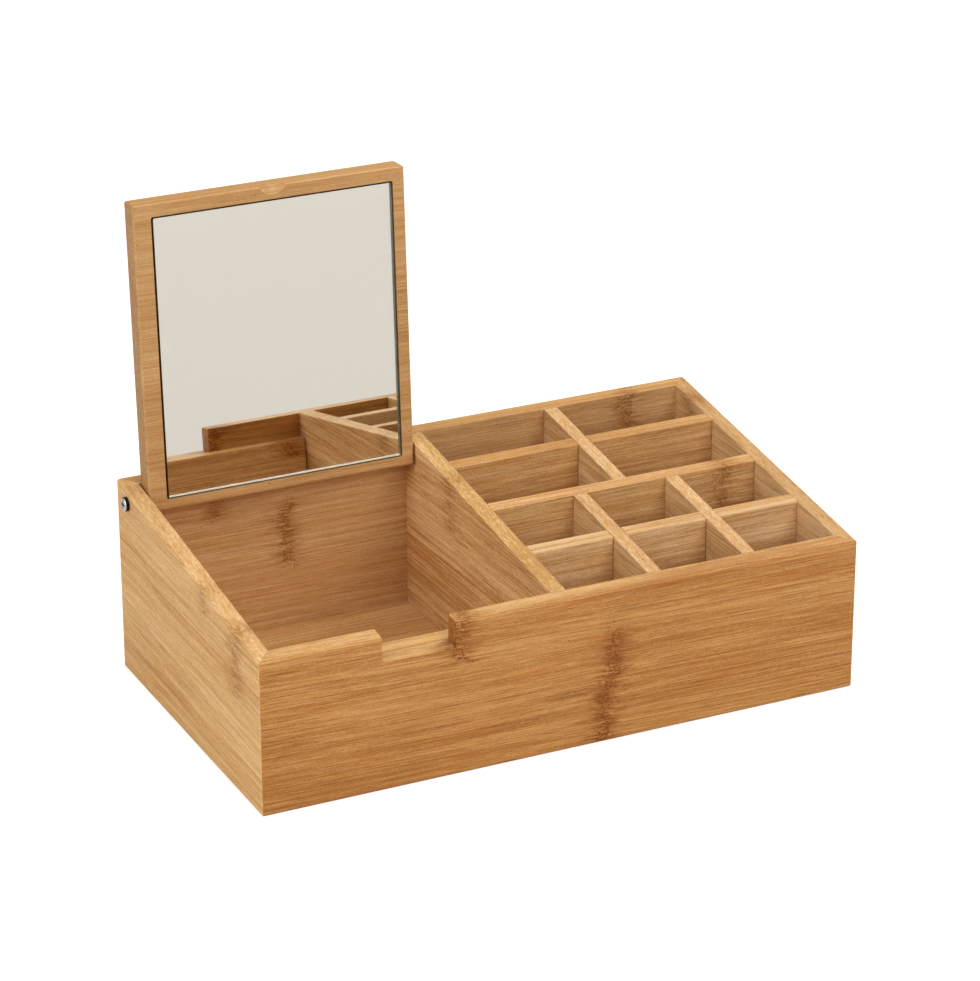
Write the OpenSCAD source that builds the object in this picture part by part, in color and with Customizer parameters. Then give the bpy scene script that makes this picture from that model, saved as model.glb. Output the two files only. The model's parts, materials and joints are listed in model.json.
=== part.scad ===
// Bamboo organiser box: a lidded compartment with a mirror in the lid, beside ten open cells.
// Millimetres, +Z up, +X along the width, front towards -Y, origin under the middle of the box.
// The lid is drawn open, leaning back on the rear panel.

/* [Box] */
// Width of the box from side to side
box_w = 300; // [250:1:360]
// Depth of the box from front to rear
box_d = 170; // [155:1:220]
// Height of the rim at the front face
front_h = 75; // [65:1:88]
// Height of the rim at the rear face
rear_h = 97; // [90:1:125]

/* [Walls] */
// Thickness of the front panel
front_t = 8.5; // [6:0.5:12]
// Thickness of the rear panel
rear_t = 7.5; // [6:0.5:12]
// Thickness of the two side panels
side_t = 8; // [6:0.5:12]
// Thickness of the bottom panel
bottom_t = 8; // [4:0.5:12]
// Depth of the chamfer that eases the outer edges
edge_ease = 0.8; // [0.3:0.1:1.5]

/* [Partition] */
// Thickness of the partition between the lidded compartment and the cells
partition_t = 8; // [6:0.5:12]
// Place of the partition's middle, from the middle of the box
partition_x = -1.2; // [-30:0.1:30]

/* [Finger notch and rest strip] */
// Width of the finger notch in the front panel
notch_w = 36; // [20:1:60]
// Thickness of the strip that the closed lid rests on
strip_t = 7; // [5.5:0.5:10]
// Height of the strip that the closed lid rests on
strip_h = 20; // [10:1:35]

/* [Cells] */
// Thickness of the dividers
divider_t = 7; // [5:0.5:9]
// Depth of the rear row of cells
rear_row = 30.4; // [22:0.1:36]
// Depth of the second row of cells
second_row = 35.4; // [25:0.1:40]
// Depth of the third row of cells
third_row = 33.8; // [25:0.1:38]
// Gap on each side in the halved joints where dividers cross
lap_clear = 0.1; // [0.05:0.05:0.3]

/* [Lid] */
// Thickness of the lid
lid_t = 11; // [9.5:0.5:14]
// Gap between the lid and the wall on each side of it
lid_side_gap = 1; // [0.5:0.1:2]
// How far the closed lid's free edge lies over the rest strip
lid_overlap = 1.5; // [1:0.1:4]
// Gap between the lid's round hinge edge and the rear panel
lid_rear_gap = 0.45; // [0.2:0.05:0.8]
// How far the closed lid's face lies below the rim at the hinge
lid_sink = 0.5; // [0.2:0.1:1.5]
// How much lower than the hinge end the free edge rests
rest_drop = 0.6; // [0.3:0.1:1.5]
// Gap left between the lid and what stops it, open and closed
stop_gap = 0.04; // [0.03:0.01:0.1]
// Wood between the hinge axis and the lid's end
heel = 5; // [4:0.1:5.2]
// Radius of the end's edge on the mirror's side
heel_round = 2; // [0.8:0.1:2.5]
// Radius of the lid's two corners at the hinge
lid_corner = 2.4; // [1:0.1:2.6]

/* [Thumb scoop] */
// Width of the scoop where it breaks the lid's free edge
scoop_w = 15; // [10:0.5:25]
// How far the scoop reaches from the free edge towards the mirror
scoop_reach = 4.3; // [3:0.1:5]
// Depth of the scoop's ball where it is deepest
scoop_depth = 3; // [1.5:0.1:4]

/* [Mirror] */
// Wood between the lid's left edge and the mirror's pocket
margin_left = 8.6; // [5:0.1:20]
// Wood between the lid's right edge and the mirror's pocket
margin_right = 6; // [5:0.1:20]
// Wood between the lid's free edge and the mirror's pocket
margin_free = 6.5; // [5.5:0.1:20]
// Distance from the hinge axis to the mirror's pocket
margin_hinge = 0.5; // [0:0.1:20]
// Thickness of the mirror's glass
glass_t = 2; // [1.5:0.1:3]
// Radius of the glass's corners
glass_corner = 0.6; // [0.3:0.1:5]
// Gap around the glass in its pocket
glass_gap = 0.8; // [0.3:0.1:1.5]
// How far the glass lies below the lid's inner face
glass_sink = 0.2; // [0.1:0.1:0.5]
// Radius of the pocket's corners
pocket_corner = 1; // [0.5:0.1:5]
// Thickness of the double-sided tape behind the glass
tape_t = 0.8; // [0.5:0.1:1.5]
// Width of each strip of tape
tape_w = 18; // [10:1:25]
// Distance from the glass's edge to the tape
tape_margin = 10; // [5:1:20]

/* [Hinge screws] */
// Diameter of the screw's plain shank and of its thread
screw_d = 3.5; // [3:0.1:4]
// Length of the screw under its head
screw_len = 24; // [20:1:30]
// Length of the screw's point
screw_point = 4; // [3:0.5:6]
// Diameter of the screw's head
head_d = 6.8; // [6:0.1:8]
// Height of the screw's head
head_h = 2.1; // [1.6:0.1:3]
// Radius of the head's rounded shoulder
head_round = 0.7; // [0.5:0.1:1.5]
// Length of each arm of the cross recess, tip to tip
recess_w = 3.8; // [3:0.1:4.5]
// Width of each arm of the cross recess
recess_slot = 0.9; // [0.7:0.1:1.2]
// Depth of the cross recess
recess_depth = 1.2; // [0.8:0.1:1.4]
// Gap between the screw's head and the wall that it turns against
head_gap = 0.2; // [0.1:0.05:0.4]
// Gap all round the shank where it turns in the wall
turning_gap = 0.08; // [0.03:0.01:0.1]
// How much smaller than the thread the pilot hole in the lid is, all round
thread_bite = 0.4; // [0.2:0.05:0.6]

/* [Hidden] */

// Colours of the finishes
bamboo = "#C8955A";
bamboo_light = "#D6A469";
bamboo_inner = "#B5834C";
glass_grey = "#D9D4CA";
tape_white = "#E9E6DE";
screw_steel = "#B9BABC";

// Finish of round forms, and how far a cut runs past a surface
$fn = 64;
past = 1;

// Faces of the box and of its inside
left_x = -box_w / 2;
right_x = box_w / 2;
front_y = -box_d / 2;
rear_y = box_d / 2;
inner_left = left_x + side_t;
inner_right = right_x - side_t;
inner_front = front_y + front_t;
inner_rear = rear_y - rear_t;
partition_left = partition_x - partition_t / 2;
partition_right = partition_x + partition_t / 2;

// The rim lies in one plane that falls from the rear to the front
rim_angle = atan2(rear_h - front_h, box_d);
function rim_z(y) = front_h + (y - front_y) * tan(rim_angle);

// The closed lid, the notch's floor and the strip's top share one depth below the rim
lid_r = lid_t / 2;
rest_depth = (lid_t + lid_sink + rest_drop) / cos(rim_angle);
notch_x = (inner_left + partition_left) / 2;

// Hinge axis, and the lid's length from the axis to its free edge
hinge_y = inner_rear - lid_r - lid_rear_gap;
hinge_z = rim_z(hinge_y) - (lid_r + lid_sink) / cos(rim_angle);
closed_reach = hinge_y - lid_r * sin(rim_angle) - inner_front - strip_t + lid_overlap;
lid_len = closed_reach / cos(rim_angle);
lid_left = inner_left + lid_side_gap;
lid_right = partition_left - lid_side_gap;

// The open lid leans until its back meets the rear panel's inner top edge
stop_y = inner_rear - hinge_y;
stop_z = rim_z(inner_rear) - hinge_z;
open_lean = acos((lid_r + stop_gap) / norm([stop_y, stop_z])) - atan2(stop_z, stop_y);

// The closed lid stops with its free edge on the strip
closed_dip = asin((rest_drop - stop_gap) / lid_len);
closed_turn = 90 + open_lean + rim_angle + closed_dip;
echo(closed_turn = closed_turn, open_lean = open_lean, hinge_y = hinge_y, hinge_z = hinge_z);

// Mirror pocket and glass, in the lid's own frame: X across, Z from the hinge to the free edge
pocket_left = lid_left + margin_left;
pocket_right = lid_right - margin_right;
pocket_low = margin_hinge;
pocket_high = lid_len - margin_free;
pocket_depth = glass_sink + glass_t + tape_t;
glass_w = pocket_right - pocket_left - 2 * glass_gap;
glass_h = pocket_high - pocket_low - 2 * glass_gap;
mirror_x = (pocket_left + pocket_right) / 2;
mirror_z = (pocket_low + pocket_high) / 2;
tape_spread = glass_w / 2 - tape_margin - tape_w / 2;

// Middles of the dividers, rear to front and left to right
cross_rear_y = inner_rear - rear_row - divider_t / 2;
cross_middle_y = cross_rear_y - divider_t - second_row;
cross_front_y = cross_middle_y - divider_t - third_row;
cells_w = inner_right - partition_right;
long_rear_x = (partition_right + inner_right) / 2;
front_cell_w = (cells_w - 2 * divider_t) / 3;
long_front_left_x = partition_right + front_cell_w + divider_t / 2;
long_front_right_x = long_front_left_x + front_cell_w + divider_t;

// Everything that stands under the sloping rim
module under_rim() {
    rotate([90, 0, 90])
        linear_extrude(height = box_w + 2 * past, center = true)
            polygon([
                [front_y - past, 0],
                [rear_y + past, 0],
                [rear_y + past, rim_z(rear_y + past)],
                [front_y - past, rim_z(front_y - past)]
            ]);
}

// A square bar along X that takes a chamfer off the edge it is centred on
module edge_bar(length) {
    side = edge_ease * sqrt(2);
    rotate([45, 0, 0])
        cube([length + 2 * past, side, side], center = true);
}

// Chamfers along the outer edges of the box: foot, upright corners and rim
module outer_edge_cuts() {
    for (y = [front_y, rear_y]) {
        translate([0, y, 0]) edge_bar(box_w);
        translate([0, y, rim_z(y)]) rotate([rim_angle / 2, 0, 0]) edge_bar(box_w);
    }
    for (x = [left_x, right_x]) {
        translate([x, 0, 0]) rotate([0, 0, 90]) edge_bar(box_d);
        translate([x, 0, rim_z(0)]) rotate([rim_angle, 0, 0]) rotate([0, 0, 90]) edge_bar(box_d * 1.05);
        for (y = [front_y, rear_y])
            translate([x, y, rear_h / 2]) rotate([0, 90, 0]) edge_bar(rear_h + 2 * past);
    }
}

// An outer panel: its plan raised to the rim, with its outer edges eased
module outer_panel(plan) {
    difference() {
        intersection() {
            linear_extrude(height = rear_h + past) polygon(plan);
            under_rim();
        }
        outer_edge_cuts();
    }
}

// An inner board between two corners of its plan, from the bottom panel up to the rim
module inner_board(x0, x1, y0, y1) {
    intersection() {
        translate([x0, y0, bottom_t]) cube([x1 - x0, y1 - y0, rear_h]);
        under_rim();
    }
}

// The hole that a hinge screw turns in, through a wall that starts at x
module hinge_hole(x, wall) {
    translate([x - past, hinge_y, hinge_z])
        rotate([0, 90, 0])
            cylinder(d = screw_d + 2 * turning_gap, h = wall + 2 * past);
}

// The panels meet in mitres, so no end grain shows at the corners
module front_panel() {
    notch_low = rim_z(0) - rest_depth;
    color(bamboo)
        difference() {
            outer_panel([[left_x, front_y], [right_x, front_y], [inner_right, inner_front],
                [inner_left, inner_front]]);
            translate([notch_x, 0, notch_low])
                rotate([rim_angle, 0, 0])
                    translate([-notch_w / 2, -box_d, 0])
                        cube([notch_w, box_d, rear_h]);
        }
}

module rear_panel() {
    color(bamboo)
        outer_panel([[left_x, rear_y], [inner_left, inner_rear], [inner_right, inner_rear],
            [right_x, rear_y]]);
}

module left_panel() {
    color(bamboo_light)
        difference() {
            outer_panel([[left_x, front_y], [inner_left, inner_front], [inner_left, inner_rear],
                [left_x, rear_y]]);
            hinge_hole(left_x, side_t);
        }
}

module right_panel() {
    color(bamboo_light)
        outer_panel([[right_x, front_y], [right_x, rear_y], [inner_right, inner_rear],
            [inner_right, inner_front]]);
}

module bottom_panel() {
    color(bamboo_inner)
        translate([inner_left, inner_front, 0])
            cube([inner_right - inner_left, inner_rear - inner_front, bottom_t]);
}

module partition() {
    color(bamboo_light)
        difference() {
            inner_board(partition_left, partition_right, inner_front, inner_rear);
            hinge_hole(partition_left, partition_t);
        }
}

// The strip behind the front panel, its top level with the notch's floor
module lid_rest_strip() {
    color(bamboo_light)
        translate([0, 0, -rest_depth])
            intersection() {
                under_rim();
                translate([inner_left, inner_front, rim_z(inner_front) - strip_h])
                    cube([partition_left - inner_left, strip_t, rear_h]);
            }
}

// Height of the halved joint's shoulder at a crossing, half way up the boards
function lap_z(y) = (bottom_t + rim_z(y)) / 2;

// A cross divider at y, open from above where the long dividers at the places in xs cross it
module cross_divider(y, xs) {
    slot_w = divider_t + 2 * lap_clear;
    color(bamboo_light)
        difference() {
            inner_board(partition_right, inner_right, y - divider_t / 2, y + divider_t / 2);
            for (x = xs)
                translate([x - slot_w / 2, y - divider_t, lap_z(y)])
                    cube([slot_w, 2 * divider_t, rear_h]);
        }
}

// A long divider at x from y0 to y1, open from below where the cross divider at cross_y passes
module long_divider(x, y0, y1, cross_y) {
    slot_w = divider_t + 2 * lap_clear;
    color(bamboo)
        difference() {
            inner_board(x - divider_t / 2, x + divider_t / 2, y0, y1);
            translate([x - divider_t, cross_y - slot_w / 2, 0])
                cube([2 * divider_t, slot_w, lap_z(cross_y)]);
        }
}

module cross_divider_rear() {
    cross_divider(cross_rear_y, [long_rear_x]);
}

module cross_divider_middle() {
    cross_divider(cross_middle_y, []);
}

module cross_divider_front() {
    cross_divider(cross_front_y, [long_front_left_x, long_front_right_x]);
}

module long_divider_rear() {
    long_divider(long_rear_x, cross_middle_y + divider_t / 2, inner_rear, cross_rear_y);
}

module long_divider_front_left() {
    long_divider(long_front_left_x, inner_front, cross_middle_y - divider_t / 2, cross_front_y);
}

module long_divider_front_right() {
    long_divider(long_front_right_x, inner_front, cross_middle_y - divider_t / 2, cross_front_y);
}

// Places what is drawn in the lid's own frame on the hinge axis, leaning back as the open lid does
module on_open_lid() {
    translate([0, hinge_y, hinge_z])
        rotate([-open_lean, 0, 0])
            children();
}

// A rectangle with rounded corners, centred
module rounded_rectangle(w, h, r) {
    square([w - 2 * r, h], center = true);
    square([w, h - 2 * r], center = true);
    for (x = [-1, 1], y = [-1, 1])
        translate([x * (w / 2 - r), y * (h / 2 - r)]) circle(r = r);
}

// A plate in the lid that starts at y and goes towards the outer face
module mirror_plate(y, w, h, r, thickness) {
    translate([mirror_x, y + thickness, mirror_z])
        rotate([90, 0, 0])
            linear_extrude(height = thickness) rounded_rectangle(w, h, r);
}

// The lid's end below the hinge axis: round at the back, where it swings past the rear panel
module heel_profile() {
    intersection() {
        circle(r = lid_r);
        translate([0, -heel]) square([lid_r, heel]);
    }
    translate([-lid_r + heel_round, -heel]) square([lid_r - heel_round, heel]);
    translate([-lid_r, -heel + heel_round]) square([lid_r, heel - heel_round]);
    translate([-lid_r + heel_round, -heel + heel_round]) circle(r = heel_round);
}

// The lid seen from its side, eased at the free edge
module lid_profile() {
    heel_profile();
    polygon([[-lid_r, 0], [lid_r, 0], [lid_r, lid_len - edge_ease], [lid_r - edge_ease, lid_len],
        [-lid_r + edge_ease, lid_len], [-lid_r, lid_len - edge_ease]]);
}

// The lid seen from the mirror's side, with round corners at the hinge
module lid_outline() {
    translate([lid_left, -heel + lid_corner])
        square([lid_right - lid_left, lid_len + heel - lid_corner]);
    translate([lid_left + lid_corner, -heel])
        square([lid_right - lid_left - 2 * lid_corner, lid_len + heel]);
    for (x = [lid_left + lid_corner, lid_right - lid_corner])
        translate([x, -heel + lid_corner]) circle(r = lid_corner);
}

// The lid before anything is cut out of it
module lid_blank() {
    intersection() {
        translate([lid_left, 0, 0])
            rotate([90, 0, 90])
                linear_extrude(height = lid_right - lid_left) lid_profile();
        rotate([90, 0, 0])
            linear_extrude(height = 2 * lid_t, center = true) lid_outline();
    }
}

// A ball that leaves a shallow half-moon where it breaks the free edge on the mirror's side
module scoop_cut() {
    rim_r = ((scoop_w / 2) ^ 2 + scoop_reach ^ 2) / (2 * scoop_reach);
    ball_r = (rim_r ^ 2 + scoop_depth ^ 2) / (2 * scoop_depth);
    translate([mirror_x, -lid_r - (ball_r - scoop_depth), lid_len - scoop_reach + rim_r])
        sphere(r = ball_r);
}

// The hole in the lid's edge that a hinge screw bites into, from x inwards
module pilot_hole(x, inwards) {
    depth = screw_len - head_gap - side_t - lid_side_gap + past;
    translate([x, 0, 0])
        rotate([0, 90 * inwards, 0])
            translate([0, 0, -past])
                cylinder(d = screw_d - 2 * thread_bite, h = depth + past);
}

module lid_board() {
    color(bamboo)
        on_open_lid()
            difference() {
                lid_blank();
                for (x = [lid_left, lid_right]) {
                    for (y = [-lid_r, lid_r])
                        translate([x, y, lid_len / 2]) rotate([0, 90, 0]) edge_bar(lid_len + 2 * lid_t);
                    translate([x, 0, lid_len]) rotate([0, 0, 90]) edge_bar(lid_t);
                }
                mirror_plate(-lid_r - past, pocket_right - pocket_left, pocket_high - pocket_low,
                    pocket_corner, pocket_depth + past);
                scoop_cut();
                pilot_hole(lid_left, 1);
                pilot_hole(lid_right, -1);
            }
}

module mirror_glass() {
    color(glass_grey)
        on_open_lid()
            mirror_plate(-lid_r + glass_sink, glass_w, glass_h, glass_corner, glass_t);
}

// An upright strip of double-sided tape behind the glass, its middle at x
module tape_strip(x) {
    strip_len = glass_h - 2 * tape_margin;
    color(tape_white)
        on_open_lid()
            translate([x - tape_w / 2, -lid_r + glass_sink + glass_t, mirror_z - strip_len / 2])
                cube([tape_w, tape_t, strip_len]);
}

module mirror_tape_left() {
    tape_strip(mirror_x - tape_spread);
}

module mirror_tape_middle() {
    tape_strip(mirror_x);
}

module mirror_tape_right() {
    tape_strip(mirror_x + tape_spread);
}

// Half of the screw's outline, with the underside of the head at zero
module screw_outline() {
    shoulder_x = head_d / 2 - head_round;
    shoulder_y = head_h - head_round;
    shoulder = [for (a = [0:15:90]) [shoulder_x + head_round * cos(a), shoulder_y + head_round * sin(a)]];
    polygon(concat(
        [[0, -screw_len], [screw_d / 2, screw_point - screw_len], [screw_d / 2, 0], [head_d / 2, 0]],
        shoulder,
        [[0, head_h]]
    ));
}

// A pan-head screw with a cross recess, standing on its point
module hinge_screw() {
    difference() {
        rotate_extrude() screw_outline();
        for (turn = [0, 90])
            rotate([0, 0, turn])
                translate([-recess_w / 2, -recess_slot / 2, head_h - recess_depth])
                    cube([recess_w, recess_slot, recess_depth + past]);
    }
}

// The screw in the left panel points to the right
module hinge_screw_left() {
    color(screw_steel)
        translate([left_x - head_gap, 0, 0])
            on_open_lid() rotate([0, -90, 0]) hinge_screw();
}

// The screw in the partition points to the left, with its head in the rear cell
module hinge_screw_right() {
    color(screw_steel)
        translate([partition_right + head_gap, 0, 0])
            on_open_lid() rotate([0, 90, 0]) hinge_screw();
}

front_panel();
rear_panel();
left_panel();
right_panel();
bottom_panel();
partition();
lid_rest_strip();
cross_divider_rear();
cross_divider_middle();
cross_divider_front();
long_divider_rear();
long_divider_front_left();
long_divider_front_right();
lid_board();
mirror_glass();
mirror_tape_left();
mirror_tape_middle();
mirror_tape_right();
hinge_screw_left();
hinge_screw_right();
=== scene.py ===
"""Looks of a bamboo vanity box with a mirror in its open lid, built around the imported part.

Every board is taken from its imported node, given soft edges and measured along its own grain,
so one bamboo material can follow the grain of each board. The mirror is a real plate of glass
with ground edges and silver behind it.
"""

import json
import logging
import math
from dataclasses import dataclass, field
from enum import Enum

import bmesh
import bpy
from mathutils import Matrix, Vector

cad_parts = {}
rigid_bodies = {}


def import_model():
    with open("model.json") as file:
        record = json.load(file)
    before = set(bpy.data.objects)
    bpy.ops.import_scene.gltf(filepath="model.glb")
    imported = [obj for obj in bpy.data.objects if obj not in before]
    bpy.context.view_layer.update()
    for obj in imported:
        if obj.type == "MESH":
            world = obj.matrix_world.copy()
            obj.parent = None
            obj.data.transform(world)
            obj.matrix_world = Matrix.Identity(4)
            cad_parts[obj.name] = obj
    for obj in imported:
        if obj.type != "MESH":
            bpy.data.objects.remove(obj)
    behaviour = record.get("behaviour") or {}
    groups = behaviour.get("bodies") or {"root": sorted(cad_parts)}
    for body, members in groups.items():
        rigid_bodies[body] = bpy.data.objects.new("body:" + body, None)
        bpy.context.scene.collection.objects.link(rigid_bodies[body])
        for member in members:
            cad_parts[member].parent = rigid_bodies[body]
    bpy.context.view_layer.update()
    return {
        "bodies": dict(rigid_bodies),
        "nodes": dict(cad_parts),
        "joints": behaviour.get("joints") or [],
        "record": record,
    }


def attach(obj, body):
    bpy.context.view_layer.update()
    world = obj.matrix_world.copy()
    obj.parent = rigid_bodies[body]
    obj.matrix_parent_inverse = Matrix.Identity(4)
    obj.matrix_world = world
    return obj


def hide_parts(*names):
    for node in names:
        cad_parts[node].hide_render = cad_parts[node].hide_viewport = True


log = logging.getLogger("scene")

# Short names for the types that many functions take.
Tree = bpy.types.NodeTree
Socket = bpy.types.NodeSocket
Triple = tuple[float, float, float]

MM = 0.001
PHOTO_WIDTH, PHOTO_HEIGHT = 980, 981

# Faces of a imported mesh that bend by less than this, in degrees, are one flat face.
FLAT = 0.5
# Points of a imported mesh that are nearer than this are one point. On a board that closes the
# slivers that stand where a mitre or a bore runs into a sloping rim.
BOARD_WELD = 0.055 * MM
SCREW_WELD = 0.002 * MM
# An edge isn't softened where a shorter one than this meets it, which would squeeze it to nothing.
SHORT_EDGE = 0.3 * MM
# Softening may leave faces narrower than this, which are closed.
SLIVER = 0.01 * MM
# An outward corner of the wood is softened from this many degrees on.
CORNER = 25.0
# A face that meets another board is at least this large and points this nearly its way.
GLUED_AREA = 40 * MM**2
GLUED_FACING = 0.998
# A face is an end, and not a rim, when it points along the grain by more than this.
END_FACING = 0.8
# A face is a rim when it points through the board by less than this.
RIM_FACING = 0.6
# A rim shows this share of its board's fibres and amber patches.
RIM_FIBRES = 0.32
RIM_PATCHES = 0.3
# Each board reads the pattern this far from the one before it: along, across and through it.
PATTERN_STEP = (0.613, 0.171, 0.057)
# A culm node that a board doesn't have is put this far away.
FAR_AWAY = 1.0
# A board has room for this many culm nodes.
KNOT_ROOM = 3
# Leaves a colour or a figure as it is.
PLAIN = (1.0, 1.0, 1.0)


class Body(Enum):
    """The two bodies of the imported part."""

    BOX = "box"
    LID = "lid"


class Axis(Enum):
    """Which way something runs in a body's own frame."""

    X = 0
    Y = 1
    Z = 2


class Slot(Enum):
    """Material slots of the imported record."""

    BAMBOO = "bamboo"
    BAMBOO_LIGHT = "bamboo_light"
    MIRROR = "mirror"
    TAPE = "foam_tape"
    STEEL = "screw_steel"


def linear(colour: str) -> tuple[float, float, float, float]:
    """Turns a hex sRGB colour into linear light.

    Args:
        colour: six hex digits, with or without a hash.

    Returns:
        Linear red, green and blue, and an alpha of one.
    """
    digits = colour.lstrip("#")
    parts = [int(digits[i : i + 2], 16) / 255 for i in (0, 2, 4)]
    light = [c / 12.92 if c <= 0.04045 else ((c + 0.055) / 1.055) ** 2.4 for c in parts]
    return light[0], light[1], light[2], 1.0


def add(tree: Tree, kind: str, sockets: dict | None = None, **settings: object) -> bpy.types.Node:
    """Adds a node, with its settings and its inputs.

    Args:
        tree: the tree that the node goes in.
        kind: the node's type name.
        sockets: input name or number to a plain value, or to the output that feeds it.
        settings: the node's own properties.

    Returns:
        The new node.
    """
    node = tree.nodes.new(kind)
    for name, value in settings.items():
        setattr(node, name, value)
    for name, value in (sockets or {}).items():
        if isinstance(value, bpy.types.NodeSocket):
            tree.links.new(value, node.inputs[name])
        else:
            node.inputs[name].default_value = value
    return node


def new_material(name: str) -> tuple[bpy.types.Material, Tree]:
    """Makes an empty node material.

    Args:
        name: the material's name.

    Returns:
        The material and its node tree.
    """
    material = bpy.data.materials.new(name)
    material.use_nodes = True
    material.node_tree.nodes.clear()
    return material, material.node_tree


def packed_shell(frame: dict, node: str, weld: float) -> bmesh.types.BMesh:
    """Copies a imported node's mesh, with its doubles merged and its flat faces made whole.

    Args:
        node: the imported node's name.
        weld: how near two points are before they are merged.

    Returns:
        The copy, with its faces pointing outwards.
    """
    shell = bmesh.new()
    shell.from_mesh(frame["nodes"][node].data)
    bmesh.ops.remove_doubles(shell, verts=shell.verts, dist=weld)
    bmesh.ops.dissolve_limit(shell, angle_limit=math.radians(FLAT), verts=shell.verts, edges=shell.edges)
    bmesh.ops.recalc_face_normals(shell, faces=shell.faces)
    return shell


def new_piece(shell: bmesh.types.BMesh, name: str) -> bpy.types.Object:
    """Turns a shell into an object in the scene, and frees the shell.

    Args:
        shell: the finished shape.
        name: the object's name and its mesh's.

    Returns:
        The object, at the origin.
    """
    mesh = bpy.data.meshes.new(name)
    shell.to_mesh(mesh)
    shell.free()
    piece = bpy.data.objects.new(name, mesh)
    bpy.context.scene.collection.objects.link(piece)
    return piece


def bake(piece: bpy.types.Object) -> None:
    """Turns what a piece's modifiers make into its plain mesh.

    Args:
        piece: the object, whose modifiers are removed.
    """
    raw = piece.data
    bpy.context.view_layer.update()
    baked = bpy.data.meshes.new_from_object(piece.evaluated_get(bpy.context.evaluated_depsgraph_get()))
    piece.modifiers.clear()
    piece.data = baked
    bpy.data.meshes.remove(raw)
    baked.name = piece.name


def smooth(piece: bpy.types.Object, angle: float) -> None:
    """Shades a piece's curved faces smooth and keeps its flat ones flat.

    Args:
        piece: the object to shade.
        angle: the sharpest corner that is still shaded smooth, in degrees.
    """
    piece.data.shade_smooth()
    piece.data.set_sharp_from_angle(angle=math.radians(angle))
    piece.modifiers.new("flats", "WEIGHTED_NORMAL").keep_sharp = True
    bake(piece)


def stand_in(piece: bpy.types.Object, body: Body, slot: Slot, *nodes: str) -> None:
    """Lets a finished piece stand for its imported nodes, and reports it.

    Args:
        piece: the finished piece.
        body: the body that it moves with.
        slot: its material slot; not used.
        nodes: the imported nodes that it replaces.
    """
    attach(piece, body.value)
    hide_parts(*nodes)
    log.info("%s: %d faces", piece.name, len(piece.data.polygons))


@dataclass(frozen=True)
class Pattern:
    """A noise stretched along the grain.

    The scale is in waves per millimetre along, across and through the board, so 0.025 draws a
    figure about 40 mm long. The noise from low to high is spread from to_low to to_high.
    """

    scale: Triple
    detail: float
    low: float = 0.0
    high: float = 1.0
    to_low: float = 0.0
    to_high: float = 1.0


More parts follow.
